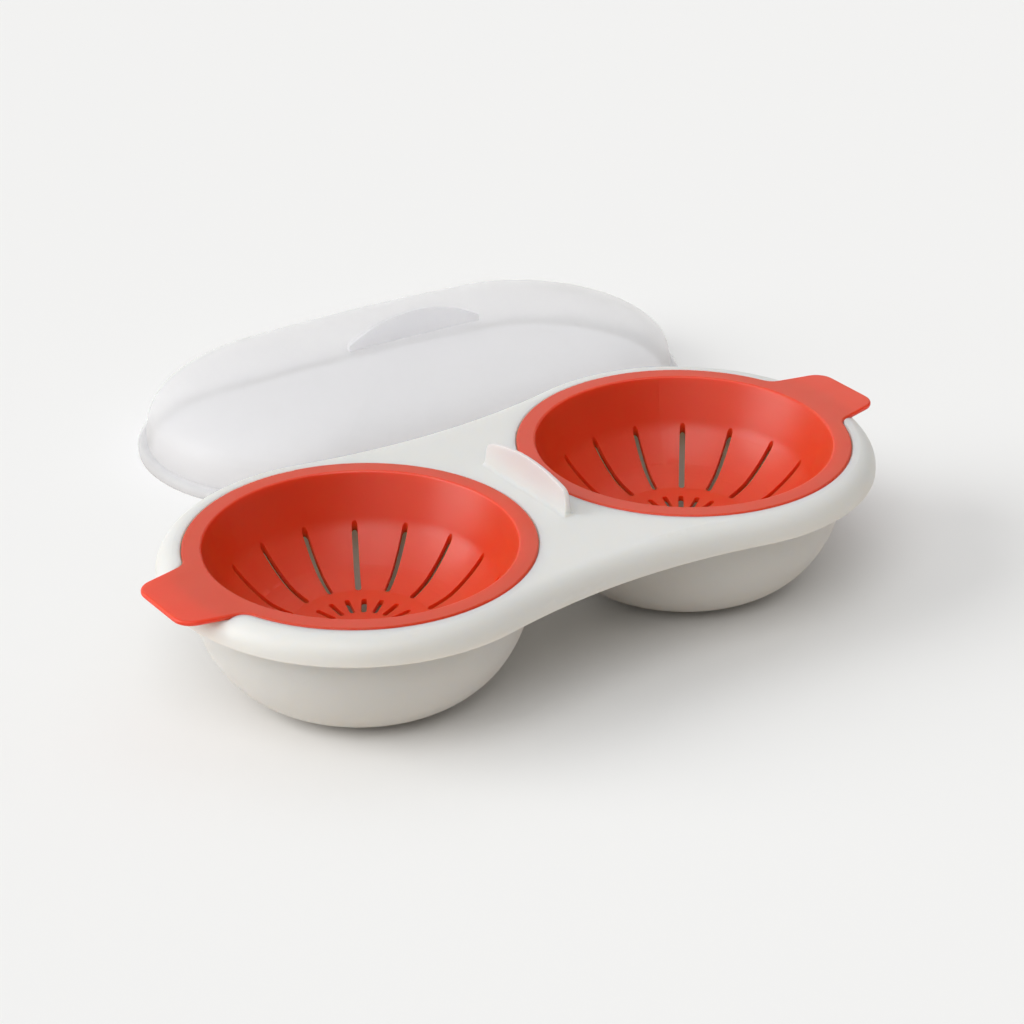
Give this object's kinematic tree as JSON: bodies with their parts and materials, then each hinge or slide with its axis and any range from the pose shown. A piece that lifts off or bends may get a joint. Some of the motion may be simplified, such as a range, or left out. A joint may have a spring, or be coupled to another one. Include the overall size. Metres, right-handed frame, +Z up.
{
  "type": "egg cooker",
  "caption": "Microwave egg poacher: white tray with round bowls and a finger fin, slotted orange lift-out baskets with tabs, and a frosted oval lid with an arched grip.",
  "frame": {"origin": "middle of the whole set's footprint, on the table that the bowls and the lid stand on", "axes": "+X along the tray from the left basket to the right one, +Y from the tray to the lid behind it, +Z up"},
  "size_m": [0.2738, 0.2516, 0.054],
  "materials": {
    "tray_plastic": "white moulded polypropylene, fine matt",
    "basket_plastic": "orange-red moulded polypropylene, satin",
    "lid_plastic": "frosted clear moulded polypropylene"
  },
  "bodies": {
    "tray": {"tray_deck": "tray_plastic", "tray_left_bowl": "tray_plastic", "tray_right_bowl": "tray_plastic"},
    "left_basket": {"left_basket": "basket_plastic"},
    "right_basket": {"right_basket": "basket_plastic"},
    "lid": {"lid": "lid_plastic"}
  },
  "joints": [
    {"name": "left_basket_lift", "type": "slide", "parent": "tray", "child": "left_basket", "axis": [0, 0, 1], "range_m": [0, 0.08]},
    {"name": "right_basket_lift", "type": "slide", "parent": "tray", "child": "right_basket", "axis": [0, 0, 1], "range_m": [0, 0.08]},
    {"name": "lid_lift", "type": "slide", "parent": "tray", "child": "lid", "axis": [0, 0, 1], "range_m": [0, 0.08]}
  ]
}
